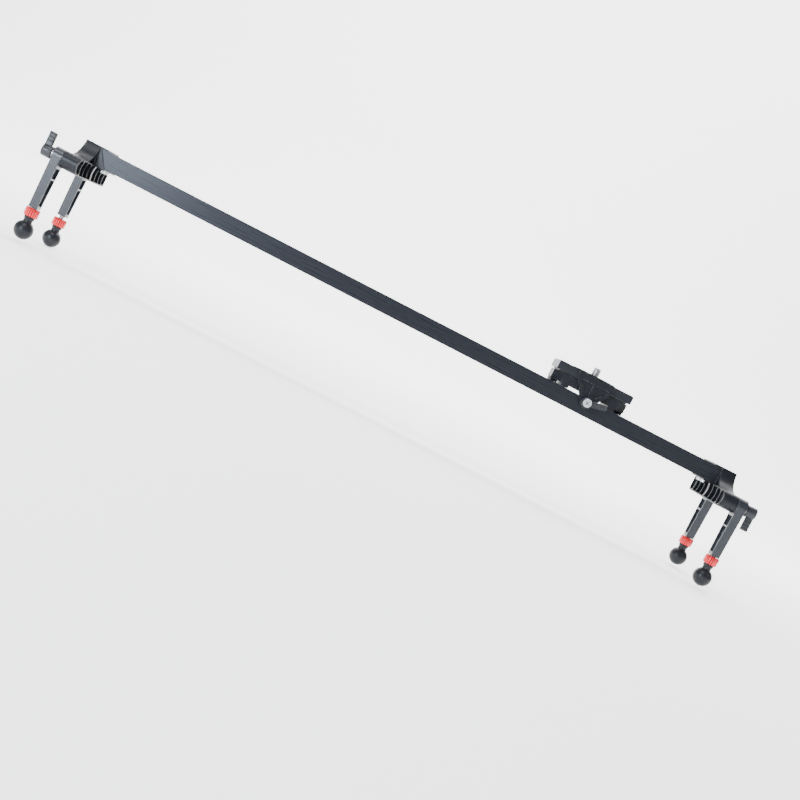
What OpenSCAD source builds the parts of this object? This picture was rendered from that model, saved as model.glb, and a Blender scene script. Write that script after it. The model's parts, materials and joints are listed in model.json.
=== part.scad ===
// Camera slider, 80 cm class. +Z up, rail along X, brake side facing -Y.
// The origin is the mouth of the centre tripod thread, on the rail's underside.

/* [Rail] */
// Length of the aluminium rail
rail_l = 800; // [600:10:1000]
// Width of the rail
rail_w = 50; // [50:1:56]
// Height of the rail
rail_h = 20; // [20:0.5:22]
// Thickness of the rail's floor
rail_floor = 4; // [3:0.5:4]
// Thickness of the rail's side walls above and below the roller track
rail_wall = 6; // [5.5:0.5:6.5]
// Depth of the roller track in each side wall
track_depth = 3; // [2.5:0.5:3]

/* [End brackets] */
// Distance from the rail's end to the outer face of a bracket
bracket_t = 18; // [17:0.5:20]
// Half the distance between the near and far leg axes
barrel_y = 57; // [54:1:64]
// Radius of the barrel that carries a leg
barrel_r = 10; // [9.5:0.5:10.5]
// How far the bracket's top stands above the rail
cap_rise = 2; // [1.5:0.5:3]

/* [Legs] */
// Thickness of a leg along the rail
leg_t = 10; // [9:0.5:10.5]
// Distance from a leg's hinge axis to its lower end
leg_drop = 63; // [55:1:75]
// Width of a leg's lower end
leg_foot_w = 13; // [12:0.5:15]
// Rest extension of the far left foot screw
far_left_out = 3; // [0:0.5:6]
// Radius of a ball foot
ball_r = 10.9; // [10:0.1:12]
// Length of a lock lever from its axis
lever_l = 22; // [18:1:26]

/* [Carriage] */
// Distance from the rail's middle to the carriage's middle at rest
carriage_x = 222; // [-330:1:330]
// Length of the carriage's top plate
plate_l = 95; // [90:1:110]
// Width of the carriage's top plate
plate_w = 52; // [52:1:58]
// Thickness of the top plate
plate_t = 10; // [8:0.5:11]
// Height of the carriage body
body_h = 10.7; // [9:0.1:11.5]
// Gap between the rail's top and the carriage body
ride_gap = 3.9; // [3.5:0.1:5]
// Radius of the friction pad under the camera head
pad_r = 27; // [22:1:28]

/* [Hidden] */
$fn = 64;
fit = 0.05;              // radial clearance of a running fit
touch = 0.3;             // clearance between separate bodies

// rail section
cavity_y = rail_w / 2 - rail_wall;
track_y = cavity_y + track_depth;

// rollers
roller_r = 8;
roller_t = 5;
roller_z = 12.1;
track_h = roller_t + 2 * touch;
race_r = 4.5;
axle_r = 2.5;
roller_x = 30;
roller_y = track_y - roller_r - fit;

// carriage levels
body_z = rail_h + ride_gap;
spacer_z = body_z + body_h;
spacer_t = 1.8;
plate_z = spacer_z + spacer_t;
top_z = plate_z + plate_t;
pad_t = 1.2;
camera_stud_r = 4.76;
camera_stud_out = 10;
camera_relief = 0.5;

// end bracket and leg stations, measured outward along X from the middle
rail_end = rail_l / 2;
cap_in = rail_end + 1;
cap_out = rail_end + bracket_t;
barrel_z = -barrel_r;
barrel_in = rail_end + 3;
barrel_out = cap_out + 4.5;
hub_in = barrel_out + touch;
hub_out = hub_in + leg_t + 1.2;
leg_in = hub_in + 0.6;
washer_t = 1.8;
lever_in = hub_out + washer_t + touch;
lever_hub_t = 12;
lever_hub_r = 7;
stud_r = 3;
cap_top = rail_h + cap_rise;
cap_half = rail_w / 2 + 1;
// radius of the concave flare from the cap's top edge to the top of the barrel
flare_r = (pow(barrel_y - cap_half, 2) + cap_top * cap_top) / (2 * cap_top);

// feet, measured down from the leg's lower end
leg_end = barrel_z - leg_drop;
ring_gap = 0.6;
ring_h = 10;
ring_r = 8.1;
neck_l = 5.3;
neck_r = 6;
ball_drop = ring_gap + ring_h + neck_l + ball_r;
leg_x = (leg_in + leg_in + leg_t) / 2;
foot_pitch = 1.25;

// brake
bracket_y = rail_w / 2 + 3;
bracket_plate = 6;
boss_z = 15.7;
boss_r = 7;
brake_angle = 10;

anodised = [0.16, 0.17, 0.19];
cast_black = [0.11, 0.12, 0.14];
ring_red = [0.85, 0.10, 0.14];
bright = [0.80, 0.81, 0.83];
soft_black = [0.05, 0.05, 0.06];

// ---------- helpers ----------

module bar_x(x0, x1, r) {
    translate([x0, 0, 0]) rotate([0, 90, 0]) cylinder(r = r, h = x1 - x0);
}

module bar_y(y0, y1, r) {
    translate([0, y1, 0]) rotate([90, 0, 0]) cylinder(r = r, h = y1 - y0);
}

module block(x0, x1, y0, y1, z0, z1) {
    translate([x0, y0, z0]) cube([x1 - x0, y1 - y0, z1 - z0]);
}

// Puts a part drawn for the far right corner at any corner.
module corner(side_x, side_y) {
    mirror([side_x < 0 ? 1 : 0, 0, 0]) mirror([0, side_y < 0 ? 1 : 0, 0]) children();
}

// A rod with V-shaped threads of the given pitch, from z0 up to z1.
module threaded_rod(r, z0, z1, pitch) {
    turns = floor((z1 - z0) / pitch);
    crests = [for (i = [0 : turns - 1], k = [0, 1]) [r - (k == 0 ? 0.5 : 0), z0 + (i + k / 2) * pitch]];
    rotate_extrude() polygon(concat([[0, z0]], crests, [[r - 0.5, z1], [0, z1]]));
}

// ---------- rail ----------

module rail() {
    color(anodised) difference() {
        block(-rail_end, rail_end, -rail_w / 2, rail_w / 2, 0, rail_h);
        block(-rail_end - 1, rail_end + 1, -cavity_y, cavity_y, rail_floor, rail_h + 1);
        block(-rail_end - 1, rail_end + 1, -track_y, track_y,
              roller_z - track_h / 2, roller_z + track_h / 2);
        for (x = insert_x) translate([x, 0, -1]) cylinder(r = insert_r, h = rail_floor + 2);
        for (side = [-1, 1], y = [-1, 1])
            translate([side * screw_x, y * screw_y, -1]) cylinder(r = screw_r, h = rail_floor + 2);
    }
}

insert_x = [-60, 0, 60];
insert_r = 7;
insert_flange_r = 9;
insert_flange_t = 1.2;
thread_r = [2.55, 4, 2.55];
screw_x = rail_end - 8;
screw_y = 9;
screw_r = 2;

// A 3/8 inch thread in the middle and a 1/4 inch thread each side of it.
module tripod_inserts() {
    color(bright) for (i = [0 : 2]) translate([insert_x[i], 0, 0]) difference() {
        union() {
            cylinder(r = insert_r, h = rail_floor);
            translate([0, 0, rail_floor]) cylinder(r = insert_flange_r, h = insert_flange_t);
        }
        translate([0, 0, -1]) cylinder(r = thread_r[i], h = rail_floor + insert_flange_t + 2);
    }
}

// ---------- end brackets ----------

// Outline across the rail: a cap that flares out and down to the two barrels.
module flare_outline(inset) {
    difference() {
        translate([-barrel_y, -2 * barrel_r + inset])
            square([2 * barrel_y, cap_top + 2 * barrel_r - 2 * inset]);
        for (side = [-1, 1])
            translate([side * barrel_y, flare_r]) circle(r = flare_r + inset, $fn = 128);
    }
}

// Extrudes an outline drawn in Y and Z along X.
module along_x(x0, x1) {
    translate([x0, 0, 0]) rotate([90, 0, 90]) linear_extrude(x1 - x0) children();
}

rib_y = [-50, -35, -18, 18, 35, 50];
beam_wall = 1.3;
tongue_t = 1.6;
pocket_y = 50;

module end_bracket() {
    difference() {
        union() {
            // cap and flares above the barrels
            difference() {
                along_x(cap_in - 1, cap_out) flare_outline(0);
                block(cap_in - 2, cap_out + 1, -barrel_y - 1, barrel_y + 1, -2 * barrel_r - 1, -barrel_r);
            }
            // rounded beam that joins the barrels under the rail's end
            translate([cap_out - barrel_r, 0, -barrel_r]) bar_y(-barrel_y, barrel_y, barrel_r);
            block(barrel_in - 3, cap_out - barrel_r, -barrel_y, barrel_y, -2 * barrel_r, -barrel_r);
            for (side = [-1, 1]) translate([0, side * barrel_y, barrel_z])
                bar_x(barrel_in - 3, barrel_out, barrel_r);
            // lip over the rail, cheeks beside it and tongue under it
            block(rail_end - 9, cap_in, -cap_half, cap_half, rail_h, cap_top);
            for (side = [-1, 1]) translate([0, side * (rail_w / 2 + 0.6) + 0.6, 0])
                rotate([90, 0, 0]) linear_extrude(1.2)
                    polygon([[rail_end - 14, -tongue_t], [cap_in, -tongue_t], [cap_in, cap_top],
                             [rail_end - 1, cap_top], [rail_end - 1, rail_h], [rail_end - 14, 0]]);
            block(rail_end - 14, cap_in, -rail_w / 2, rail_w / 2, -tongue_t, 0);
        }
        // hollow flares, open towards the middle of the rail
        difference() {
            along_x(cap_in - 2, cap_out - 3) flare_outline(2.4);
            block(cap_in - 3, cap_out, -rail_w / 2 - 2, rail_w / 2 + 2, -2 * barrel_r, cap_top);
            block(cap_in - 3, cap_out, -barrel_y, barrel_y, -2 * barrel_r - 1, 0);
        }
        // pockets in the beam between a wide middle rib and thin fins
        difference() {
            translate([0, 0, -barrel_r])
                intersection() {
                    block(barrel_in - 4, cap_out - 3, -pocket_y, pocket_y, -barrel_r + beam_wall, barrel_r - 1.4);
                    union() {
                        translate([cap_out - barrel_r, 0, 0])
                            bar_y(-pocket_y, pocket_y, barrel_r - beam_wall);
                        block(barrel_in - 4, cap_out - barrel_r, -pocket_y, pocket_y, -barrel_r, barrel_r);
                    }
                }
            for (y = rib_y)
                block(barrel_in - 5, cap_out, y - 0.6, y + 0.6, -2 * barrel_r, 0);
            block(barrel_in - 5, cap_out, -2.6, 2.6, -2 * barrel_r, 0);
        }
        // the barrels are hollow at the end that faces the middle of the rail
        for (side = [-1, 1]) difference() {
            translate([0, side * barrel_y, barrel_z]) bar_x(barrel_in - 4, barrel_in + 3, barrel_r - beam_wall);
            block(barrel_in - 5, barrel_in + 4, side * pocket_y - 0.6, side * pocket_y + 0.6, -2 * barrel_r, 0);
        }
        // concave mouth over the fins and the hollow barrels
        intersection() {
            translate([barrel_in - 30, 0, -barrel_r])
                bar_y(-barrel_y - barrel_r - 1, barrel_y + barrel_r + 1, 30.5, $fn = 128);
            block(barrel_in - 31, barrel_in + 1, -barrel_y - barrel_r, barrel_y + barrel_r,
                  -2 * barrel_r - 1, -tongue_t);
        }
        // rail socket: nothing of the bracket enters the rail
        block(rail_end - 20, rail_end, -rail_w / 2, rail_w / 2, 0, rail_h);
        for (side = [-1, 1]) {
            translate([screw_x, side * screw_y, -3]) cylinder(r = screw_r, h = 4);
            translate([0, side * barrel_y, barrel_z]) bar_x(barrel_in + 4, barrel_out + 1, stud_r);
        }
    }
}

module end_bracket_left() { color(cast_black) mirror([1, 0, 0]) end_bracket(); }
module end_bracket_right() { color(cast_black) end_bracket(); }

// Two screws that hold a bracket's tongue to the rail's floor.
module bracket_screws(side) {
    color(bright) for (y = [-1, 1]) translate([side * screw_x, y * screw_y, 0]) {
        translate([0, 0, -tongue_t]) cylinder(r = screw_r, h = rail_floor + tongue_t + 2);
        difference() {
            translate([0, 0, -tongue_t - 3]) cylinder(r = 3.6, h = 3);
            translate([0, 0, -tongue_t - 3.5]) cylinder(r = 1.6, h = 2, $fn = 6);
        }
    }
}

module bracket_screws_left() { bracket_screws(-1); }
module bracket_screws_right() { bracket_screws(1); }

// Rubber stop in the end of the rail's channel.
module end_buffer(side) {
    color(soft_black) mirror([side < 0 ? 1 : 0, 0, 0])
        block(rail_end - 12, rail_end, -4.5, 4.5, rail_floor, rail_h - 3);
}

module end_buffer_left() { end_buffer(-1); }
module end_buffer_right() { end_buffer(1); }

// ---------- legs, drawn for the far right corner ----------

module pivot_stud() {
    color(bright) translate([0, barrel_y, barrel_z]) bar_x(barrel_in + 4, lever_in + 9, stud_r);
}

module hub_washer() {
    color(bright) translate([0, barrel_y, barrel_z]) difference() {
        bar_x(hub_out + touch / 2, hub_out + touch / 2 + washer_t, 5.5);
        bar_x(hub_out - 1, hub_out + washer_t + 1, stud_r);
    }
}

// A tapered bar under a round hub, with pockets in its inner face.
module leg_shape() {
    top_w = 2 * barrel_r;
    rib_z = -26;
    pocket_t = 3.2;
    translate([0, barrel_y, barrel_z]) difference() {
        union() {
            bar_x(hub_in, hub_out, barrel_r);
            along_x(leg_in, leg_in + leg_t)
                polygon([[-top_w / 2, 0], [top_w / 2, 0],
                         [leg_foot_w / 2, -leg_drop], [-leg_foot_w / 2, -leg_drop]]);
        }
        for (span = [[-13, rib_z + 1], [rib_z - 1, -leg_drop + 4]])
            along_x(leg_in - 1, leg_in + pocket_t)
                polygon([[-leg_half(span[0]) + 1.2, span[0]], [leg_half(span[0]) - 1.2, span[0]],
                         [leg_half(span[1]) - 1.2, span[1]], [-leg_half(span[1]) + 1.2, span[1]]]);
        bar_x(hub_in - 1, hub_out + 1, stud_r + fit);
        translate([leg_x, 0, -leg_drop - 1]) cylinder(r = stud_r + fit, h = 24);
    }
}

// Half the leg's width at a height below its axis.
function leg_half(z) = barrel_r + (leg_foot_w / 2 - barrel_r) * (-z / leg_drop);

// A round hub with a ribbed paddle, turned by angle about the hub.
module lever_shape(angle) {
    translate([0, barrel_y, barrel_z]) rotate([angle, 0, 0]) difference() {
        union() {
            bar_x(lever_in, lever_in + lever_hub_t, lever_hub_r);
            block(lever_in + 4, lever_in + lever_hub_t, -1.8, 2.6, 0, lever_l);
            for (i = [0 : 2])
                block(lever_in + 4.8, lever_in + lever_hub_t - 0.8, 2.6, 3.5,
                      lever_l - 3 - 4 * i, lever_l - 1 - 4 * i);
        }
        bar_x(lever_in - 1, lever_in + 9, stud_r + fit);
    }
}

// Foot parts drawn on the leg's own axis, with the screw turned out by out.
module at_foot(out) {
    translate([leg_x, barrel_y, leg_end - out]) children();
}

module foot_stud_shape(out) {
    at_foot(out) threaded_rod(stud_r, -ball_drop + 3, 20, foot_pitch);
}

module lock_ring_shape(out) {
    flutes = 20;
    at_foot(out) translate([0, 0, -ring_gap - ring_h]) linear_extrude(ring_h) difference() {
        circle(r = ring_r);
        circle(r = stud_r + fit);
        for (i = [0 : flutes - 1]) rotate(i * 360 / flutes) translate([ring_r + 0.25, 0]) circle(r = 0.7, $fn = 16);
    }
}

module ball_foot_shape(out) {
    at_foot(out) difference() {
        union() {
            translate([0, 0, -ball_drop]) sphere(r = ball_r);
            translate([0, 0, -ball_drop + 5]) cylinder(r = neck_r, h = ball_drop - 5 - ring_gap - ring_h - touch);
        }
        translate([0, 0, -ball_drop + 3]) cylinder(r = stud_r, h = ball_drop);
    }
}

module pivot_stud_near_left() { corner(-1, -1) pivot_stud(); }
module pivot_stud_far_left() { corner(-1, 1) pivot_stud(); }
module pivot_stud_near_right() { corner(1, -1) pivot_stud(); }
module pivot_stud_far_right() { corner(1, 1) pivot_stud(); }

module hub_washer_near_left() { corner(-1, -1) hub_washer(); }
module hub_washer_far_left() { corner(-1, 1) hub_washer(); }
module hub_washer_near_right() { corner(1, -1) hub_washer(); }
module hub_washer_far_right() { corner(1, 1) hub_washer(); }

module leg_near_left() { color(anodised) corner(-1, -1) leg_shape(); }
module leg_far_left() { color(anodised) corner(-1, 1) leg_shape(); }
module leg_near_right() { color(anodised) corner(1, -1) leg_shape(); }
module leg_far_right() { color(anodised) corner(1, 1) leg_shape(); }

module lock_lever_near_left() { color(cast_black) corner(-1, -1) lever_shape(0); }
module lock_lever_far_left() { color(cast_black) corner(-1, 1) lever_shape(-90); }
module lock_lever_near_right() { color(cast_black) corner(1, -1) mirror_z() lever_shape(0); }
module lock_lever_far_right() { color(cast_black) corner(1, 1) lever_shape(-90); }

// Turns a lever upside down about its own axis.
module mirror_z() {
    translate([0, 0, 2 * barrel_z]) mirror([0, 0, 1]) children();
}

module foot_stud_near_left() { color(bright) corner(-1, -1) foot_stud_shape(0); }
module foot_stud_far_left() { color(bright) corner(-1, 1) foot_stud_shape(far_left_out); }
module foot_stud_near_right() { color(bright) corner(1, -1) foot_stud_shape(0); }
module foot_stud_far_right() { color(bright) corner(1, 1) foot_stud_shape(0); }

module lock_ring_near_left() { color(ring_red) corner(-1, -1) lock_ring_shape(0); }
module lock_ring_far_left() { color(ring_red) corner(-1, 1) lock_ring_shape(far_left_out); }
module lock_ring_near_right() { color(ring_red) corner(1, -1) lock_ring_shape(0); }
module lock_ring_far_right() { color(ring_red) corner(1, 1) lock_ring_shape(0); }

module ball_foot_near_left() { color(soft_black) corner(-1, -1) ball_foot_shape(0); }
module ball_foot_far_left() { color(soft_black) corner(-1, 1) ball_foot_shape(far_left_out); }
module ball_foot_near_right() { color(soft_black) corner(1, -1) ball_foot_shape(0); }
module ball_foot_far_right() { color(soft_black) corner(1, 1) ball_foot_shape(0); }

// ---------- carriage ----------

module on_carriage() {
    translate([carriage_x, 0, 0]) children();
}

module at_rollers() {
    for (x = [-roller_x, roller_x], y = [-roller_y, roller_y]) translate([x, y, 0]) children();
}

body_face = 36;
body_end_w = 13;
axle_bar = 4.5;

module carriage_body() {
    half = plate_l / 2;
    depth = rail_w / 2;
    color(cast_black) on_carriage() difference() {
        union() {
            translate([0, 0, body_z]) linear_extrude(body_h)
                polygon([[-half, -body_end_w], [-body_face, -depth], [body_face, -depth], [half, -body_end_w],
                         [half, body_end_w], [body_face, depth], [-body_face, depth], [-half, body_end_w]]);
            // bars across the body that carry the axles down to the rail
            for (x = [-roller_x, roller_x])
                block(x - axle_bar, x + axle_bar, -depth, depth, rail_h + touch, body_z + 1);
        }
        at_rollers() translate([0, 0, rail_h]) cylinder(r = axle_r, h = body_z - rail_h + body_h + 1);
    }
}

module carriage_spacer() {
    color(soft_black) on_carriage()
        block(-plate_l / 2 + 4, plate_l / 2 - 4, -plate_w / 2 + 3, plate_w / 2 - 3, spacer_z, plate_z);
}

plate_screw_x = 40;
plate_screw_y = 18;
pin_x = 14;
pin_z = plate_z + 5;
pin_r = 2;

module carriage_plate() {
    color(anodised) on_carriage() difference() {
        union() {
            block(-plate_l / 2, plate_l / 2, -plate_w / 2, plate_w / 2, plate_z, top_z - 0.8);
            block(-plate_l / 2 + 0.8, plate_l / 2 - 0.8, -plate_w / 2 + 0.8, plate_w / 2 - 0.8,
                  top_z - 0.8, top_z);
        }
        translate([0, 0, plate_z - 1]) cylinder(r = camera_stud_r, h = plate_t + 2);
        translate([0, 0, plate_z - 1]) cylinder(r = 8, h = 4);
        for (x = [-1, 1], y = [-1, 1]) translate([x * plate_screw_x, y * plate_screw_y, plate_z]) {
            translate([0, 0, -1]) cylinder(r = 2, h = plate_t + 2);
            translate([0, 0, plate_t - 2.4]) cylinder(r1 = 2, r2 = 4.4, h = 2.4);
        }
        for (x = [-pin_x, pin_x]) translate([x, 0, pin_z]) bar_y(-plate_w / 2 - 1, -plate_w / 2 + 8, pin_r);
    }
}

// Countersunk screws with a hexagon socket.
module plate_screws() {
    color(bright) on_carriage() for (x = [-1, 1], y = [-1, 1])
        translate([x * plate_screw_x, y * plate_screw_y, plate_z]) difference() {
            union() {
                cylinder(r = 2, h = plate_t - 2.4);
                translate([0, 0, plate_t - 2.4]) cylinder(r1 = 2, r2 = 4.2, h = 2.2);
            }
            translate([0, 0, plate_t - 2]) cylinder(r = 1.4, h = 3, $fn = 6);
        }
}

module friction_pad() {
    color(soft_black) on_carriage() translate([0, 0, top_z]) difference() {
        cylinder(r = pad_r, h = pad_t, $fn = 96);
        translate([0, 0, -1]) cylinder(r = camera_stud_r + 0.3, h = pad_t + 2);
    }
}

module camera_screw() {
    color(bright) on_carriage() {
        translate([0, 0, plate_z]) cylinder(r = 8, h = 3);
        translate([0, 0, plate_z + 3])
            cylinder(r = camera_stud_r - 0.4, h = plate_t - 3 + pad_t + camera_relief);
        translate([0, 0, top_z + pad_t + camera_relief])
            cylinder(r = camera_stud_r, h = camera_stud_out - camera_relief);
    }
}

// Strips under each end of the body that keep dirt out of the track.
module rail_wipers() {
    color(soft_black) on_carriage() for (side = [-1, 1]) mirror([side < 0 ? 1 : 0, 0, 0])
        block(38.5, 46.5, -body_end_w, body_end_w, rail_h + touch, body_z);
}

module roller_axles() {
    color(bright) on_carriage() at_rollers() {
        translate([0, 0, roller_z - roller_t / 2 - 1.2]) cylinder(r = 4, h = 1.2);
        translate([0, 0, roller_z - roller_t / 2]) cylinder(r = axle_r, h = spacer_z - roller_z + roller_t / 2);
    }
}

module ring_z(inner, outer, z0, z1) {
    translate([0, 0, z0]) difference() {
        cylinder(r = outer, h = z1 - z0);
        translate([0, 0, -1]) cylinder(r = inner, h = z1 - z0 + 2);
    }
}

module axle_spacers() {
    color(bright) on_carriage() at_rollers() ring_z(axle_r, 3.6, roller_z + roller_t / 2, rail_h + touch);
}

module bearing_inner_races() {
    color(bright) on_carriage() at_rollers()
        ring_z(axle_r, race_r, roller_z - roller_t / 2, roller_z + roller_t / 2);
}

// Outer race of one ball bearing; it rolls in the rail's track.
module roller(side_x, side_y) {
    color(bright) on_carriage() translate([side_x * roller_x, side_y * roller_y, 0])
        ring_z(race_r + fit, roller_r, roller_z - roller_t / 2 + 0.1, roller_z + roller_t / 2 - 0.1);
}

module roller_near_left() { roller(-1, -1); }
module roller_far_left() { roller(-1, 1); }
module roller_near_right() { roller(1, -1); }
module roller_far_right() { roller(1, 1); }

// ---------- brake ----------

// Extrudes an outline drawn in X and Z from y0 (nearer the rail) outward by t.
module outward(y0, t) {
    translate([0, -y0, 0]) rotate([90, 0, 0]) linear_extrude(t) children();
}

module side_bracket() {
    top_half = 22.4;
    shoulder_half = 20.5;
    shoulder_z = plate_z - 1;
    pocket_top = plate_z + 1.5;
    front_y = bracket_y + bracket_plate;
    color(cast_black) on_carriage() difference() {
        union() {
            outward(bracket_y, bracket_plate)
                polygon([[-top_half, top_z - 0.6], [top_half, top_z - 0.6], [shoulder_half, shoulder_z],
                         [boss_r - 0.8, boss_z - 3.4], [0.8 - boss_r, boss_z - 3.4],
                         [-shoulder_half, shoulder_z]]);
            outward(plate_w / 2, bracket_y - plate_w / 2)
                translate([-top_half, plate_z]) square([2 * top_half, plate_t - 0.6]);
            translate([0, 0, boss_z]) outward(bracket_y, bracket_plate) circle(r = boss_r);
        }
        for (side = [-1, 1]) mirror([side < 0 ? 1 : 0, 0, 0]) outward(front_y - 2, 3)
            polygon([[1.6, boss_z + boss_r + 1], [1.6, pocket_top], [shoulder_half - 3.6, pocket_top],
                     [shoulder_half - 4.4, shoulder_z - 1], [boss_r - 1, boss_z + boss_r + 1]]);
        translate([0, 0, boss_z]) bar_y(-front_y - 1, -bracket_y + 1, axle_r + fit);
        for (x = [-pin_x, pin_x]) translate([x, 0, pin_z]) bar_y(-bracket_y - 3, -plate_w / 2 + 1, pin_r);
    }
}

module bracket_pins() {
    color(bright) on_carriage() for (x = [-pin_x, pin_x])
        translate([x, 0, pin_z]) bar_y(-bracket_y - 3, -plate_w / 2 + 8, pin_r);
}

lever_y = bracket_y + bracket_plate + touch;
lever_t = 5;
brake_arm = 24;

// Hub and notched arm, turned up a little from the rail's direction.
module brake_lever() {
    color(cast_black) on_carriage() translate([0, 0, boss_z]) rotate([0, -brake_angle, 0]) difference() {
        union() {
            outward(lever_y, lever_t) circle(r = 6.4);
            outward(lever_y + 0.8, lever_t - 1.6)
                polygon([[0, -4.2], [brake_arm - 1, -2.6], [brake_arm, -1.6],
                         [brake_arm, 1.6], [brake_arm - 1, 2.6], [0, 4.2]]);
            for (i = [0 : 3]) outward(lever_y + 0.4, lever_t - 0.8)
                translate([11.5 + 3.4 * i, -3.6 + 0.2 * i]) square([1.5, 7.2 - 0.4 * i]);
        }
        bar_y(-lever_y - lever_t - 1, -lever_y + 1, axle_r);
    }
}

// Bright screw with a cross recess; it turns with the lever and pushes the pad.
module brake_screw() {
    head_r = 5;
    head_t = 2.4;
    color(bright) on_carriage() translate([0, 0, boss_z]) rotate([0, -brake_angle, 0]) difference() {
        union() {
            outward(bracket_y + 0.5, lever_y + lever_t - bracket_y - 0.5) circle(r = axle_r);
            outward(lever_y + lever_t, head_t) circle(r = head_r);
        }
        for (turn = [0, 90]) outward(lever_y + lever_t + head_t - 1.4, 2)
            rotate(turn + 45) square([5.6, 1], center = true);
    }
}

module brake_pad() {
    color(soft_black) on_carriage() translate([0, 0, boss_z]) outward(rail_w / 2 + touch, 2.4) circle(r = 4.2);
}

// ---------- assembly ----------

rail();
tripod_inserts();
end_bracket_left();
end_bracket_right();
bracket_screws_left();
bracket_screws_right();
end_buffer_left();
end_buffer_right();
pivot_stud_near_left();
pivot_stud_far_left();
pivot_stud_near_right();
pivot_stud_far_right();
hub_washer_near_left();
hub_washer_far_left();
hub_washer_near_right();
hub_washer_far_right();
leg_near_left();
leg_far_left();
leg_near_right();
leg_far_right();
lock_lever_near_left();
lock_lever_far_left();
lock_lever_near_right();
lock_lever_far_right();
foot_stud_near_left();
foot_stud_far_left();
foot_stud_near_right();
foot_stud_far_right();
lock_ring_near_left();
lock_ring_far_left();
lock_ring_near_right();
lock_ring_far_right();
ball_foot_near_left();
ball_foot_far_left();
ball_foot_near_right();
ball_foot_far_right();
carriage_body();
carriage_spacer();
carriage_plate();
plate_screws();
friction_pad();
camera_screw();
rail_wipers();
roller_axles();
axle_spacers();
bearing_inner_races();
roller_near_left();
roller_far_left();
roller_near_right();
roller_far_right();
side_bracket();
bracket_pins();
brake_lever();
brake_screw();
brake_pad();
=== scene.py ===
"""Camera slider: looks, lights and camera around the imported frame. Metres, +Z up, rail along X."""

import json
import math

import bmesh
import bpy
from mathutils import Euler, Matrix, Vector


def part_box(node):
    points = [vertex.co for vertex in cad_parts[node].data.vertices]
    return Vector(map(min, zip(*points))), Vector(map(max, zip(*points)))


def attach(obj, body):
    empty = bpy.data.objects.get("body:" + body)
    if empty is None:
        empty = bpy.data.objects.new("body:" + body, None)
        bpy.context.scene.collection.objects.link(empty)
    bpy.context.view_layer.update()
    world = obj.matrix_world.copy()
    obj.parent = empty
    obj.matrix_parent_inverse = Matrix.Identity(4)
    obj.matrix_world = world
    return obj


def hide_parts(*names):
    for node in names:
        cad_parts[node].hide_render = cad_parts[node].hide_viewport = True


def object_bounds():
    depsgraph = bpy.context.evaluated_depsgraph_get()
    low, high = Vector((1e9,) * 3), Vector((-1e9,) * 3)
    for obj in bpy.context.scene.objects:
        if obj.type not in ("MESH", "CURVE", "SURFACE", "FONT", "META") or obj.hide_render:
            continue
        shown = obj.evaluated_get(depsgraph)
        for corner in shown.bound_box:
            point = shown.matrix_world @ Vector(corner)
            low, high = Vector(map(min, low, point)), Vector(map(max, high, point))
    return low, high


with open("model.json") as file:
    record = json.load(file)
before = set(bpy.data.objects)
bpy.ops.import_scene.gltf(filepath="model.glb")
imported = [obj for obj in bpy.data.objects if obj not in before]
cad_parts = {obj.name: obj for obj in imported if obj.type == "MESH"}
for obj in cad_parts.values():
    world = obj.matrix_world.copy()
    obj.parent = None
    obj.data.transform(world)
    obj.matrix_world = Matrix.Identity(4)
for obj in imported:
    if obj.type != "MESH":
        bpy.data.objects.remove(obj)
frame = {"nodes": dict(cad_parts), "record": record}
CAD_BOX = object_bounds()

MM = 0.001
CORNERS = ("near_left", "far_left", "near_right", "far_right")


# ---------- camera ----------

CAMERA_PLACE = Vector((-0.0275, -1.3915, 0.0074))
CAMERA_YAW = math.radians(2.455)
CAMERA_PITCH = math.radians(-3.64)
CAMERA_ROLL = math.radians(27.27)
CAMERA_LENS = 53.57
CAMERA_SENSOR = 36
CAMERA_CLIP = (0.05, 50)


def make_camera():
    """A front view, with the camera rolled so that the rail runs across the picture at a slant."""
    data = bpy.data.cameras.new("camera")
    data.lens = CAMERA_LENS
    data.sensor_width = CAMERA_SENSOR
    data.clip_start, data.clip_end = CAMERA_CLIP
    camera = bpy.data.objects.new("camera", data)
    bpy.context.scene.collection.objects.link(camera)
    level = Euler((math.pi / 2 + CAMERA_PITCH, 0, -CAMERA_YAW), "XYZ").to_matrix()
    roll = Matrix.Rotation(CAMERA_ROLL, 3, "Z")
    camera.matrix_world = Matrix.Translation(CAMERA_PLACE) @ (level @ roll).to_4x4()
    bpy.context.scene.camera = camera


# ---------- lights ----------

WHITE = (1, 1, 1)
COOL_WHITE = (0.80, 0.88, 1.0)
WORLD_STRENGTH = 0.36


def make_light(name, place, target, size, watts, tint=WHITE):
    """A panel of light, size metres wide and high, aimed from place at target."""
    data = bpy.data.lights.new(name, "AREA")
    data.shape = "RECTANGLE"
    data.size, data.size_y = size
    data.energy = watts
    data.color = tint
    light = bpy.data.objects.new(name, data)
    light.location = place
    light.rotation_euler = (Vector(target) - Vector(place)).to_track_quat("-Z", "Y").to_euler()
    bpy.context.scene.collection.objects.link(light)


def make_lights():
    """A soft key above, a cool panel for the left legs, a faint strip, and two lights behind the object."""
    make_light("key_top", (-0.7, -0.9, 1.7), (0, 0, 0), (0.9, 0.9), 22)
    make_light("left_panel", (-0.86, -1.3, 0.20), (-0.42, 0, -0.03), (0.5, 0.45), 22, COOL_WHITE)
    make_light("right_strip", (1.4, -1.1, 0.7), (0.4, 0, 0), (0.4, 1.2), 3)
    make_light("back_top", (0.2, 1.3, 1.9), (0, 0.1, 0), (1.6, 1.6), 40)
    make_light("backdrop_wash", (0, 1.2, 2.6), (0, 3.6, 0.8), (4.0, 1.5), 260)


def make_world():
    """Even white light from all around."""
    world = bpy.data.worlds.new("studio")
    world.use_nodes = True
    background = world.node_tree.nodes["Background"]
    background.inputs["Color"].default_value = (*WHITE, 1)
    background.inputs["Strength"].default_value = WORLD_STRENGTH
    bpy.context.scene.world = world


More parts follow.
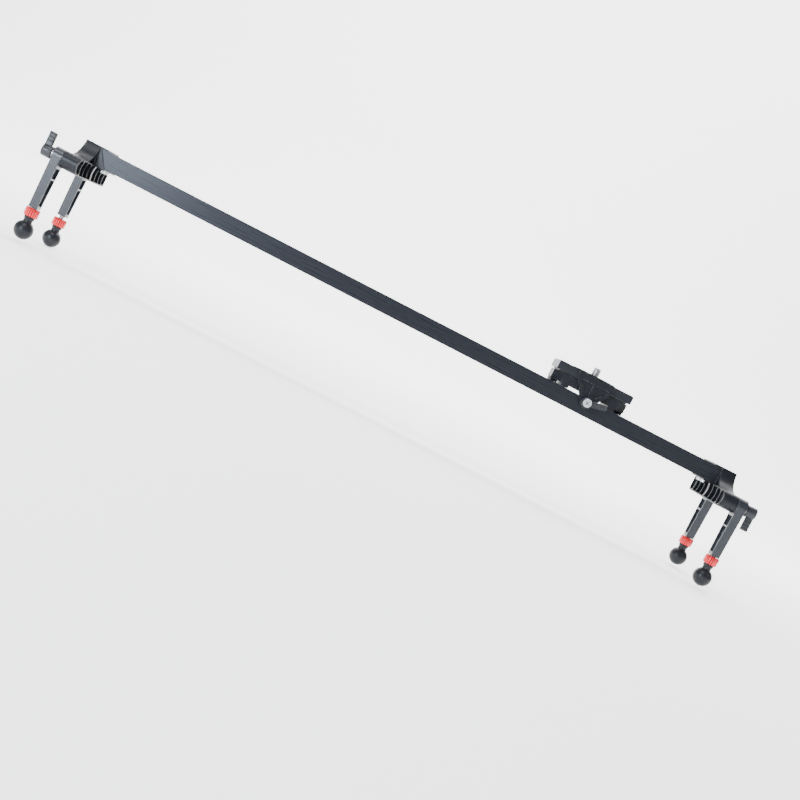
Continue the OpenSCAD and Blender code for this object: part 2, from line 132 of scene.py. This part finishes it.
# ---------- floor ----------

FLOOR_REACH = 6.0
FLOOR_FLAT = 2.0
FLOOR_BEND = 2.0
FLOOR_BEND_STEPS = 16
FLOOR_TOP = 6.0
FLOOR_GREY = (0.93, 0.93, 0.93)
FLOOR_ROUGHNESS = 0.8
FLOOR_GLOW = 1.5


def floor_material():
    """Pale and a little luminous, so that the background stays light."""
    material = bpy.data.materials.new("floor")
    material.use_nodes = True
    shader = material.node_tree.nodes["Principled BSDF"]
    shader.inputs["Base Color"].default_value = (*FLOOR_GREY, 1)
    shader.inputs["Roughness"].default_value = FLOOR_ROUGHNESS
    shader.inputs["Emission Color"].default_value = (*WHITE, 1)
    shader.inputs["Emission Strength"].default_value = FLOOR_GLOW
    return material


def floor_profile():
    """The floor from the side, as (depth, height): flat, then bent up into a wall."""
    profile = [(-FLOOR_REACH, 0.0), (FLOOR_FLAT, 0.0)]
    for i in range(1, FLOOR_BEND_STEPS + 1):
        turn = math.pi / 2 * i / FLOOR_BEND_STEPS
        depth = FLOOR_FLAT + FLOOR_BEND * math.sin(turn)
        profile.append((depth, FLOOR_BEND * (1 - math.cos(turn))))
    profile.append((FLOOR_FLAT + FLOOR_BEND, FLOOR_TOP))
    return profile


def make_floor():
    """A pale floor that sweeps up behind the object, so the front view has no horizon."""
    ground = CAD_BOX[0].z
    profile = floor_profile()
    verts = [(x, y, ground + z) for y, z in profile for x in (-FLOOR_REACH, FLOOR_REACH)]
    faces = [(2 * i, 2 * i + 1, 2 * i + 3, 2 * i + 2) for i in range(len(profile) - 1)]
    mesh = bpy.data.meshes.new("floor")
    mesh.from_pydata(verts, [], faces)
    for face in mesh.polygons:
        face.use_smooth = True
    mesh.materials.append(floor_material())
    floor = bpy.data.objects.new("floor", mesh)
    bpy.context.scene.collection.objects.link(floor)


# ---------- how a material is made ----------

BEVEL_SAMPLES = 6
MASK_SAMPLES = 4
# Ambient occlusion rays for the painted shade in grooves; GROOVE_SHADE scales the darker tone of that
# painted shade.
GROOVE_SAMPLES = 8
COAT_ROUGHNESS = 0.25
EDGE_RANGE = (0.80, 0.99)
# Paler edge lines, partly wear and partly a painted edge highlight: their reach from the edge, patch size
# and patch range.
WEAR_AND_HIGHLIGHT_RADIUS = 0.0004
WEAR_AND_HIGHLIGHT_PATCH = 0.003
WEAR_AND_HIGHLIGHT_RANGE = (0.40, 0.75)
GROOVE_SHADE = 0.7


class Surface:
    """A Principled material whose colour, roughness and bump come from noise in object space.

    Sizes and heights are in metres. Sharp edges are shaded as if rounded with the radius edge.
    """

    def __init__(self, name, roughness, metallic=0.0, specular=0.5, coat=0.0, sheen=0.0, edge=0.0004):
        self.material = bpy.data.materials.new(name)
        self.material.use_nodes = True
        self.tree = self.material.node_tree
        self.shader = self.tree.nodes["Principled BSDF"]
        self.roughness = roughness
        self.set("Metallic", metallic)
        self.set("Specular IOR Level", specular)
        self.set("Coat Weight", coat)
        self.set("Coat Roughness", COAT_ROUGHNESS)
        self.set("Sheen Weight", sheen)
        self.place = self.node("ShaderNodeTexCoord").outputs["Object"]
        self.normal = self.rounded(edge, BEVEL_SAMPLES) if edge else None

    def set(self, socket, value):
        self.shader.inputs[socket].default_value = value

    def node(self, kind):
        return self.tree.nodes.new(kind)

    def link(self, source, target):
        self.tree.links.new(source, target)

    def rounded(self, radius, samples):
        """The surface's normal, as if its edges were rounded with radius."""
        rounder = self.node("ShaderNodeBevel")
        rounder.samples = samples
        rounder.inputs["Radius"].default_value = radius
        return rounder.outputs["Normal"]

    def noise(self, size, stretch=(1, 1, 1), detail=4):
        """Noise whose grains are about size metres across, drawn out by stretch."""
        mapping = self.node("ShaderNodeMapping")
        mapping.inputs["Scale"].default_value = [1 / (size * s) for s in stretch]
        self.link(self.place, mapping.inputs["Vector"])
        noise = self.node("ShaderNodeTexNoise")
        noise.inputs["Scale"].default_value = 1
        noise.inputs["Detail"].default_value = detail
        self.link(mapping.outputs["Vector"], noise.inputs["Vector"])
        return noise.outputs["Fac"]

    def ramp(self, source, low, high, start=0.3, end=0.7):
        """Turns a 0 to 1 value into a blend of two greys or two colours."""
        ramp = self.node("ShaderNodeValToRGB")
        for stop, place, value in zip(ramp.color_ramp.elements, (start, end), (low, high)):
            stop.position = place
            stop.color = (*value, 1) if isinstance(value, tuple) else (value, value, value, 1)
        self.link(source, ramp.inputs["Fac"])
        return ramp.outputs["Color"]

    def mix(self, factor, low, high):
        """Blends the colours low and high by factor."""
        mix = self.node("ShaderNodeMix")
        mix.data_type = "RGBA"
        self.link(factor, mix.inputs["Factor"])
        self.link(low, mix.inputs["A"])
        self.link(high, mix.inputs["B"])
        return mix.outputs["Result"]

    def edge_mask(self, radius):
        """0 on open surfaces, rising to 1 within radius of an edge."""
        soft = self.rounded(radius, MASK_SAMPLES)
        compare = self.node("ShaderNodeVectorMath")
        compare.operation = "DOT_PRODUCT"
        self.link(soft, compare.inputs[0])
        self.link(self.node("ShaderNodeNewGeometry").outputs["Normal"], compare.inputs[1])
        return self.ramp(compare.outputs["Value"], 1.0, 0.0, *EDGE_RANGE)

    def colour(self, low, high, size, stretch=(1, 1, 1), edge_wear_and_highlight=None, wear_and_highlight=0.0):
        """Two close tones from noise, with broken paler lines along the edges: partly rubbed wear, partly a
        painted edge highlight.
        """
        tone = self.ramp(self.noise(size, stretch), low, high)
        if edge_wear_and_highlight:
            patches = self.ramp(self.noise(WEAR_AND_HIGHLIGHT_PATCH), 0.0, wear_and_highlight, *WEAR_AND_HIGHLIGHT_RANGE)
            mask = self.node("ShaderNodeMath")
            mask.operation = "MULTIPLY"
            self.link(self.edge_mask(WEAR_AND_HIGHLIGHT_RADIUS), mask.inputs[0])
            self.link(patches, mask.inputs[1])
            bare_and_lit = self.node("ShaderNodeRGB")
            bare_and_lit.outputs[0].default_value = (*edge_wear_and_highlight, 1)
            tone = self.mix(mask.outputs[0], tone, bare_and_lit.outputs[0])
        self.link(tone, self.shader.inputs["Base Color"])

    def colour_with_painted_groove_shade(self, groove_shade, low, high, size, reach, shut, clear):
        """Two close tones from noise, turning to painted shade where the surface is sunk, found by ambient
        occlusion.

        Walls up to reach away close a point in. The painted shade is full where the openness is
        under shut, and gone where it is over clear.
        """
        tone = self.ramp(self.noise(size), low, high)
        occlusion = self.node("ShaderNodeAmbientOcclusion")
        occlusion.samples = GROOVE_SAMPLES
        occlusion.inputs["Distance"].default_value = reach
        openness = self.ramp(occlusion.outputs["AO"], 0.0, 1.0, shut, clear)
        dark = self.ramp(self.noise(size), groove_shade, tuple(GROOVE_SHADE * part for part in groove_shade))
        self.link(self.mix(openness, dark, tone), self.shader.inputs["Base Color"])

    def polish(self, spread, size, stretch=(1, 1, 1)):
        """Roughness that varies by spread around the surface's own value."""
        low, high = self.roughness - spread, self.roughness + spread
        self.link(self.ramp(self.noise(size, stretch), low, high), self.shader.inputs["Roughness"])

    def bump(self, size, height, strength=0.4, stretch=(1, 1, 1), detail=6):
        """Fine relief, laid over the rounded edges."""
        bump = self.node("ShaderNodeBump")
        bump.inputs["Strength"].default_value = strength
        bump.inputs["Distance"].default_value = height
        self.link(self.noise(size, stretch, detail), bump.inputs["Height"])
        if self.normal:
            self.link(self.normal, bump.inputs["Normal"])
        self.normal = bump.outputs["Normal"]

    def done(self):
        """Connects the relief and hands over the material."""
        self.link(self.normal, self.shader.inputs["Normal"])
        return self.material


# ---------- materials ----------

LENGTHWISE = (60, 1, 1)
BRUSHED = (20, 1, 1)
# Paler colours for the edge lines: partly rubbed or bare surface, partly a painted highlight along the
# edges.
BARE_METAL_AND_EDGE_HIGHLIGHT = (0.30, 0.31, 0.33)
RAIL_WEAR_AND_EDGE_HIGHLIGHT = (0.25, 0.26, 0.28)
PLASTIC_WEAR_AND_EDGE_HIGHLIGHT = (0.20, 0.20, 0.22)


def rail_anodised():
    """Satin black, with its grain along the rail."""
    s = Surface("rail_anodised", 0.29, metallic=0.2, specular=0.24, edge=0.0005)
    # Paler edge lines: partly rubbed wear, partly a painted edge highlight.
    s.colour((0.010, 0.012, 0.017), (0.014, 0.016, 0.022), 0.0012, LENGTHWISE, RAIL_WEAR_AND_EDGE_HIGHLIGHT, 0.6)
    s.polish(0.025, 0.0008, LENGTHWISE)
    s.bump(0.0002, 0.000004, 0.2, LENGTHWISE, detail=2)
    return s.done()


def plate_anodised():
    """Satin black, with a shorter brushed grain."""
    s = Surface("plate_anodised", 0.36, metallic=0.2, specular=0.25)
    # Paler edge lines: partly bare metal, partly a painted edge highlight.
    s.colour((0.012, 0.014, 0.018), (0.018, 0.020, 0.026), 0.0015, BRUSHED, BARE_METAL_AND_EDGE_HIGHLIGHT, 0.7)
    s.polish(0.05, 0.001, BRUSHED)
    s.bump(0.0002, 0.000005, 0.3, BRUSHED, detail=2)
    return s.done()


def powder_coat(name, low, high, roughness, specular, grain=0.0007):
    """Baked paint with a faint grain, with paler edge lines that are partly rubbed-through paint and partly
    a painted edge highlight.
    """
    s = Surface(name, roughness, specular=specular, edge=0.0006)
    s.colour(low, high, 0.003, edge_wear_and_highlight=BARE_METAL_AND_EDGE_HIGHLIGHT, wear_and_highlight=0.9)
    s.polish(0.025, 0.002)
    s.bump(grain, 0.00005, 0.15)
    return s.done()


def bracket_casting():
    return powder_coat("bracket_casting", (0.008, 0.009, 0.012), (0.012, 0.014, 0.018), 0.36, 0.2)


def carriage_casting():
    return powder_coat("carriage_casting", (0.006, 0.007, 0.010), (0.010, 0.011, 0.015), 0.38, 0.2)


def leg_paint():
    low = (0.014, 0.017, 0.024)
    high = (0.017, 0.021, 0.029)
    return powder_coat("leg_paint", low, high, 0.30, 0.45, grain=0.0005)


def lever_plastic():
    """Moulded black plastic with a slight texture."""
    s = Surface("lever_plastic", 0.36, specular=0.4, edge=0.0005)
    # Paler edge lines: partly rubbed plastic, partly a painted edge highlight.
    s.colour((0.014, 0.016, 0.020), (0.022, 0.024, 0.029), 0.002, edge_wear_and_highlight=PLASTIC_WEAR_AND_EDGE_HIGHLIGHT, wear_and_highlight=0.6)
    s.polish(0.05, 0.0015)
    s.bump(0.00035, 0.00005, 0.4)
    return s.done()


def steel(name, tone, roughness):
    """Turned steel in the given tone."""
    grain = 0.0006
    s = Surface(name, roughness, metallic=1.0, edge=0.0002)
    s.colour(tuple(part * 0.86 for part in tone), tone, grain)
    s.polish(0.06, grain)
    s.bump(grain, 0.00001, 0.3)
    return s.done()


def brake_screw_chrome():
    """Bright plating, with painted shade in the cross of the screw head."""
    # Painted shade: the colour that ambient occlusion darkens the screw's cross towards.
    recess_shade = (0.10, 0.12, 0.15)
    s = Surface("brake_screw_chrome", 0.26, metallic=1.0, edge=0.0002)
    s.colour_with_painted_groove_shade(recess_shade, (0.80, 0.85, 0.93), (0.86, 0.90, 0.97), 0.004, 0.0022, 0.55, 0.9)
    s.polish(0.04, 0.003)
    s.bump(0.002, 0.00001, 0.2)
    return s.done()


def ring_red():
    """Red anodised metal, with painted shade giving a deeper red between the flutes."""
    # Painted shade: the deeper red that ambient occlusion lays between the flutes.
    flute_shade = (0.24, 0.0, 0.004)
    s = Surface("ring_red", 0.30, metallic=0.35, specular=0.6, coat=0.4, edge=0.0003)
    s.colour_with_painted_groove_shade(flute_shade, (0.72, 0.008, 0.016), (0.88, 0.022, 0.032), 0.0015, 0.0016, 0.4, 0.75)
    s.polish(0.05, 0.001)
    s.bump(0.0004, 0.00002, 0.3)
    return s.done()


def foot_rubber():
    """Smooth moulded rubber. The feet are round in shape, so no edge is shaded."""
    s = Surface("foot_rubber", 0.32, specular=0.22, edge=0)
    s.colour((0.010, 0.011, 0.014), (0.016, 0.018, 0.021), 0.003)
    s.polish(0.05, 0.002)
    s.bump(0.0004, 0.00003, 0.3)
    return s.done()


def dull_black(name, roughness, sheen=0.0, grain=0.0006):
    """Matt black rubber, plastic or felt."""
    s = Surface(name, roughness, specular=0.35, sheen=sheen, edge=0.0002)
    s.colour((0.008, 0.008, 0.009), (0.015, 0.015, 0.017), 0.0012)
    s.polish(0.06, 0.001)
    s.bump(grain, 0.00008, 0.5)
    return s.done()


def make_materials():
    """One material for each of the record's material slots."""
    return {
        "rail_anodised": rail_anodised(),
        "plate_anodised": plate_anodised(),
        "bracket_casting": bracket_casting(),
        "carriage_casting": carriage_casting(),
        "leg_paint": leg_paint(),
        "lever_plastic": lever_plastic(),
        "screw_steel": steel("screw_steel", (0.72, 0.73, 0.75), 0.22),
        "stud_steel": steel("stud_steel", (0.66, 0.67, 0.69), 0.26),
        "insert_steel": steel("insert_steel", (0.58, 0.59, 0.61), 0.30),
        "bearing_steel": steel("bearing_steel", (0.60, 0.61, 0.63), 0.18),
        "brake_screw_chrome": brake_screw_chrome(),
        "ring_red": ring_red(),
        "foot_rubber": foot_rubber(),
        "pad_rubber": dull_black("pad_rubber", 0.62),
        "buffer_rubber": dull_black("buffer_rubber", 0.70),
        "spacer_plastic": dull_black("spacer_plastic", 0.50),
        "wiper_felt": dull_black("wiper_felt", 0.90, sheen=0.4, grain=0.0004),
    }


def slot_of(node):
    """The record's material slot for a CAD node."""
    for entry in frame["record"]["subparts"]:
        if entry["node"] == node:
            return entry["material_slot"]
    raise KeyError(node)


def body_of_node(node):
    """The body that a CAD node moves with."""
    for body, members in frame["record"]["behaviour"]["bodies"].items():
        if node in members:
            return body
    raise KeyError(node)


def finish_cad(materials):
    """Every CAD node gets its slot's material; the material itself rounds the sharp edges."""
    for node, obj in frame["nodes"].items():
        obj.data.materials.clear()
        obj.data.materials.append(materials[slot_of(node)])


# ---------- how a piece is made ----------

# A lathed end closes on this radius instead of on one point.
AXIS_GAP = 0.05 * MM
WELD_DISTANCE = 1e-7


def new_piece(name, node, shape, materials, sharp=35):
    """A piece that stands for a CAD node, on the node's body and in its slot's material.

    An edge that turns by more than sharp degrees stays crisp.
    """
    verts, faces = shape
    mesh = bpy.data.meshes.new(name)
    mesh.from_pydata(verts, [], faces)
    mesh.materials.append(materials[slot_of(node)])
    work = bmesh.new()
    work.from_mesh(mesh)
    bmesh.ops.remove_doubles(work, verts=work.verts, dist=WELD_DISTANCE)
    bmesh.ops.recalc_face_normals(work, faces=work.faces)
    for face in work.faces:
        face.smooth = True
    work.to_mesh(mesh)
    work.free()
    mesh.set_sharp_from_angle(angle=math.radians(sharp))
    piece = bpy.data.objects.new(name, mesh)
    bpy.context.scene.collection.objects.link(piece)
    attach(piece, body_of_node(node))
    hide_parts(node)


def circle(segments, height, radius_at):
    """One ring of points about Z; radius_at gives the radius at each angle."""
    verts = []
    for i in range(segments):
        turn = 2 * math.pi * i / segments
        radius = radius_at(turn)
        verts.append((radius * math.cos(turn), radius * math.sin(turn), height))
    return verts


def band(count, low_ring, high_ring):
    """The faces between two rings of count points; rings are numbered from 0."""
    low = low_ring * count
    high = high_ring * count
    faces = []
    for i in range(count):
        after = (i + 1) % count
        faces.append((low + i, low + after, high + after, high + i))
    return faces


def bands(count, rings):
    """The faces between each ring of count points and the next."""
    faces = []
    for ring in range(rings - 1):
        faces += band(count, ring, ring + 1)
    return faces


def closed(count, rings):
    """The faces over all rings, with a flat face on the first and the last."""
    total = count * rings
    return bands(count, rings) + [tuple(range(count)), tuple(range(total - 1, total - 1 - count, -1))]


def plain(turn, radius):
    """The factor of a shape that is round everywhere."""
    return 1


def lathed_points(profile, segments, factor_at=plain):
    """The rings of (radius, height) pairs about Z; factor_at scales each radius by its angle."""
    verts = []
    for radius, height in profile:
        verts += circle(segments, height, lambda turn: radius * factor_at(turn, radius))
    return verts


def lathe(profile, segments, factor_at=plain):
    """Turns (radius, height) pairs about Z, with a flat face on each end."""
    return lathed_points(profile, segments, factor_at), closed(segments, len(profile))


def rounded_prism(outline, start, end, soft):
    """Extrudes a (y, z) outline along X, drawn in by soft at both ends."""
    lows = [min(point[k] for point in outline) for k in (0, 1)]
    highs = [max(point[k] for point in outline) for k in (0, 1)]
    middle = [(low + high) / 2 for low, high in zip(lows, highs)]
    half = [(high - low) / 2 for low, high in zip(lows, highs)]
    rim = [(0, soft), (0.3 * soft, 0.3 * soft), (soft, 0)]
    stations = [(start + along, inset) for along, inset in rim]
    stations += [(end - along, inset) for along, inset in reversed(rim)]
    verts = []
    for x, inset in stations:
        for point in outline:
            y, z = (middle[k] + (point[k] - middle[k]) * (1 - inset / half[k]) for k in (0, 1))
            verts.append((x, y, z))
    return verts, closed(len(outline), len(stations))


def joined(first, second):
    """Two shapes as one."""
    base = len(first[0])
    faces = [tuple(base + i for i in face) for face in second[1]]
    return first[0] + second[0], first[1] + faces


def on_axis_of(node, shape):
    """Moves a shape that was made about Z onto the upright axis of a CAD node."""
    low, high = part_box(node)
    middle = (low + high) / 2
    verts, faces = shape
    return [(x + middle.x, y + middle.y, z) for x, y, z in verts], faces


# ---------- lock levers ----------

# Millimetres, along X from the lever's inner face and outward from the hub's axis.
HUB_RADIUS = 7
HUB_LENGTH = 12
HUB_BORE = 3.05
HUB_BORE_DEPTH = 10
HUB_DISH = 4.6
HUB_SEGMENTS = 72
GRIP_START = 4
GRIP_BACK = -1.8
GRIP_FRONT = 2.6
GRIP_LENGTH = 22
GRIP_SOFT = 0.5
RIDGE_PLACES = (12, 16, 20)
RIDGE_WIDTH = 2.5
RIDGE_HEIGHT = 0.9
RIDGE_STEPS = 8


def lever_hub():
    """A hub turned about X, with a bore, soft rims and a dished outer end."""
    gap = AXIS_GAP / MM
    profile = [
        (gap, HUB_BORE_DEPTH), (HUB_BORE, HUB_BORE_DEPTH), (HUB_BORE, 0),
        (HUB_RADIUS - 0.8, 0), (HUB_RADIUS - 0.2, 0.25), (HUB_RADIUS, 0.8),
        (HUB_RADIUS, HUB_LENGTH - 1.0), (HUB_RADIUS - 0.2, HUB_LENGTH - 0.4),
        (HUB_RADIUS - 0.8, HUB_LENGTH - 0.05), (HUB_DISH + 0.4, HUB_LENGTH),
        (HUB_DISH, HUB_LENGTH - 0.4), (gap, HUB_LENGTH - 0.6),
    ]
    verts, faces = lathe(profile, HUB_SEGMENTS)
    return [(z, x, y) for x, y, z in verts], faces


def grip_outline():
    """The grip seen along the hub's axis, as (thickness, distance from it): ridged front, soft tip."""
    outline = [(GRIP_BACK, GRIP_START), (GRIP_FRONT, GRIP_START)]
    for middle in RIDGE_PLACES:
        for step in range(RIDGE_STEPS + 1):
            part = step / RIDGE_STEPS
            swell = RIDGE_HEIGHT * math.sin(math.pi * part)
            outline.append((GRIP_FRONT + swell, middle + RIDGE_WIDTH * (part - 0.5)))
    outline += [
        (GRIP_FRONT - 0.1, GRIP_LENGTH - 0.4), (GRIP_FRONT - 0.6, GRIP_LENGTH - 0.1),
        (GRIP_FRONT - 1.2, GRIP_LENGTH), (GRIP_BACK + 0.8, GRIP_LENGTH),
        (GRIP_BACK + 0.3, GRIP_LENGTH - 0.1), (GRIP_BACK, GRIP_LENGTH - 0.5),
    ]
    return outline


def lock_lever(corner, materials):
    """A hub with a ridged grip: the near left one points up, the near right down, the far ones outward."""
    node = "lock_lever_" + corner
    low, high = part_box(node)
    stud_low, stud_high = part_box("pivot_stud_" + corner)
    axis = (stud_low + stud_high) / 2
    out = 1 if axis.x > 0 else -1
    away = 1 if axis.y > 0 else -1
    inner = min(abs(low.x), abs(high.x))
    grip = rounded_prism(grip_outline(), GRIP_START, HUB_LENGTH, GRIP_SOFT)
    verts, faces = joined(lever_hub(), grip)
    placed = []
    for x, y, z in verts:
        if corner == "near_right":
            z = -z
        if away > 0:
            y, z = z, -y
        placed.append((out * (inner + x * MM), axis.y + away * y * MM, axis.z + z * MM))
    new_piece("lever_" + corner, node, (placed, faces), materials)


# ---------- feet and lock rings ----------

SCREW_BORE = 3.1 * MM
BALL_STEPS = 40
BALL_SEGMENTS = 64
BALL_WAIST = 5.2 * MM
BALL_COLLAR = 6.0 * MM
PARTING_ANGLE = 0.03
PARTING_DIP = 0.9975
RING_FLUTES = 18
FLUTE_SEGMENTS = 12
FLUTE_DEPTH = 0.15
FLUTE_START = 0.9
RING_RIM = 0.8 * MM
RING_SHARP = 50


def ball_foot(corner, materials):
    """A moulded ball with a waisted neck, a collar under the lock ring and a parting line."""
    node = "ball_foot_" + corner
    low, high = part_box(node)
    radius = (high.x - low.x) / 2
    ball_z = low.z + radius
    start = -math.pi / 2
    end = math.acos(BALL_WAIST / radius)
    profile = []
    for i in range(BALL_STEPS + 1):
        turn = start + (end - start) * i / BALL_STEPS
        dip = PARTING_DIP if abs(turn) < PARTING_ANGLE else 1.0
        profile.append((max(radius * dip * math.cos(turn), AXIS_GAP), ball_z + radius * math.sin(turn)))
    top = high.z
    profile += [
        (BALL_WAIST - 0.2 * MM, top - 4.2 * MM), (BALL_WAIST - 0.1 * MM, top - 3.2 * MM),
        (BALL_COLLAR - 0.3 * MM, top - 2.4 * MM), (BALL_COLLAR, top - 1.9 * MM),
        (BALL_COLLAR, top - 0.3 * MM), (BALL_COLLAR - 0.3 * MM, top), (SCREW_BORE, top),
    ]
    new_piece("ball_" + corner, node, on_axis_of(node, lathe(profile, BALL_SEGMENTS)), materials)


def lock_ring(corner, materials):
    """A fluted nut with chamfered rims."""
    node = "lock_ring_" + corner
    low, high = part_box(node)
    outer = (high.x - low.x) / 2

    def fluted(turn, radius):
        if radius < FLUTE_START * outer:
            return 1
        wave = 0.5 + 0.5 * math.cos(RING_FLUTES * turn)
        return 1 - FLUTE_DEPTH * (1 - min(1, 1.5 * wave)) ** 1.1

    chamfer = [(0.84, 0), (0.88, 0), (0.93, 0.25), (1, 1)]
    profile = [(SCREW_BORE, low.z)]
    profile += [(outer * part, low.z + rise * RING_RIM) for part, rise in chamfer]
    profile += [(outer * part, high.z - rise * RING_RIM) for part, rise in reversed(chamfer)]
    profile += [(SCREW_BORE, high.z)]
    ring = lathe(profile, RING_FLUTES * FLUTE_SEGMENTS, fluted)
    new_piece("ring_" + corner, node, on_axis_of(node, ring), materials, RING_SHARP)


# ---------- threads ----------

THREAD_SEGMENTS = 48
THREAD_ROWS = 8
THREAD_SHARP = 25
STUD_RADIUS = 4.76 * MM
STUD_PITCH = 25.4 / 16 * MM
STUD_DEPTH = 0.85 * MM
STUD_HEAD = 3 * MM
STUD_HEAD_RADIUS = 8 * MM
SCREW_RADIUS = 3.0 * MM
SCREW_PITCH = 1.25 * MM
SCREW_DEPTH = 0.55 * MM


def threaded_rod(radius, low_z, high_z, pitch, depth, head=None):
    """A rod with one continuous V thread that fades out at both ends.

    A head, given as (radius, lowest height), adds a flat disc under the rod.
    """
    root = radius - depth
    rows = int((high_z - low_z) / pitch * THREAD_ROWS)
    verts = []
    if head:
        head_radius, head_low = head
        disc = [(head_radius, head_low), (head_radius, low_z), (root, low_z)]
        verts += lathed_points(disc, THREAD_SEGMENTS)
    for row in range(rows + 1):
        z = low_z + (high_z - low_z) * row / rows
        fade = max(min(1, (high_z - z) / (1.2 * pitch), (z - low_z) / (0.8 * pitch)), 0)

        def flank(turn):
            phase = ((z - low_z) / pitch - turn / (2 * math.pi)) % 1.0
            return root + depth * (1 - abs(2 * phase - 1)) * fade

        verts += circle(THREAD_SEGMENTS, z, flank)
    return verts, closed(THREAD_SEGMENTS, len(verts) // THREAD_SEGMENTS)


def camera_screw(materials):
    """The stud on the carriage: a 3/8 inch thread, 16 turns to the inch, above its head."""
    node = "camera_screw"
    low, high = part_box(node)
    head = (STUD_HEAD_RADIUS, low.z)
    rod = threaded_rod(STUD_RADIUS, low.z + STUD_HEAD, high.z, STUD_PITCH, STUD_DEPTH, head)
    new_piece("camera_stud_thread", node, on_axis_of(node, rod), materials, THREAD_SHARP)


def foot_screw(corner, materials):
    """The 6 mm screw that joins a foot to its leg."""
    node = "foot_stud_" + corner
    low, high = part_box(node)
    rod = threaded_rod(SCREW_RADIUS, low.z, high.z, SCREW_PITCH, SCREW_DEPTH)
    new_piece("foot_screw_" + corner, node, on_axis_of(node, rod), materials, THREAD_SHARP)


# ---------- grip pad ----------

PAD_HOLE = 5.1 * MM
PAD_MARGIN = 0.8 * MM
PAD_PITCH = 1.0 * MM
PAD_GROOVE = 0.25 * MM
PAD_SEGMENTS = 128


def friction_pad(materials):
    """A grip disc with fine round ridges, a softened rim and a hole for the stud."""
    node = "friction_pad"
    low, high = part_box(node)
    outer = (high.x - low.x) / 2
    profile = [
        (PAD_HOLE, low.z), (outer - 0.1 * MM, low.z), (outer, low.z + 0.2 * MM),
        (outer, high.z - 0.3 * MM), (outer - 0.3 * MM, high.z - 0.05 * MM),
    ]
    ridges = int((outer - PAD_MARGIN - PAD_HOLE) / PAD_PITCH)
    for i in range(ridges):
        crest = outer - PAD_MARGIN - i * PAD_PITCH
        profile += [(crest, high.z), (crest - 0.55 * PAD_PITCH, high.z)]
        profile += [(crest - part * PAD_PITCH, high.z - PAD_GROOVE) for part in (0.65, 0.9)]
    profile += [(PAD_HOLE, high.z)]
    rings = len(profile)
    faces = bands(PAD_SEGMENTS, rings) + band(PAD_SEGMENTS, rings - 1, 0)
    pad = (lathed_points(profile, PAD_SEGMENTS), faces)
    new_piece("grip_pad", node, on_axis_of(node, pad), materials)


def main():
    make_camera()
    make_lights()
    make_world()
    make_floor()
    materials = make_materials()
    finish_cad(materials)
    for corner in CORNERS:
        lock_lever(corner, materials)
        ball_foot(corner, materials)
        lock_ring(corner, materials)
        foot_screw(corner, materials)
    camera_screw(materials)
    friction_pad(materials)


main()
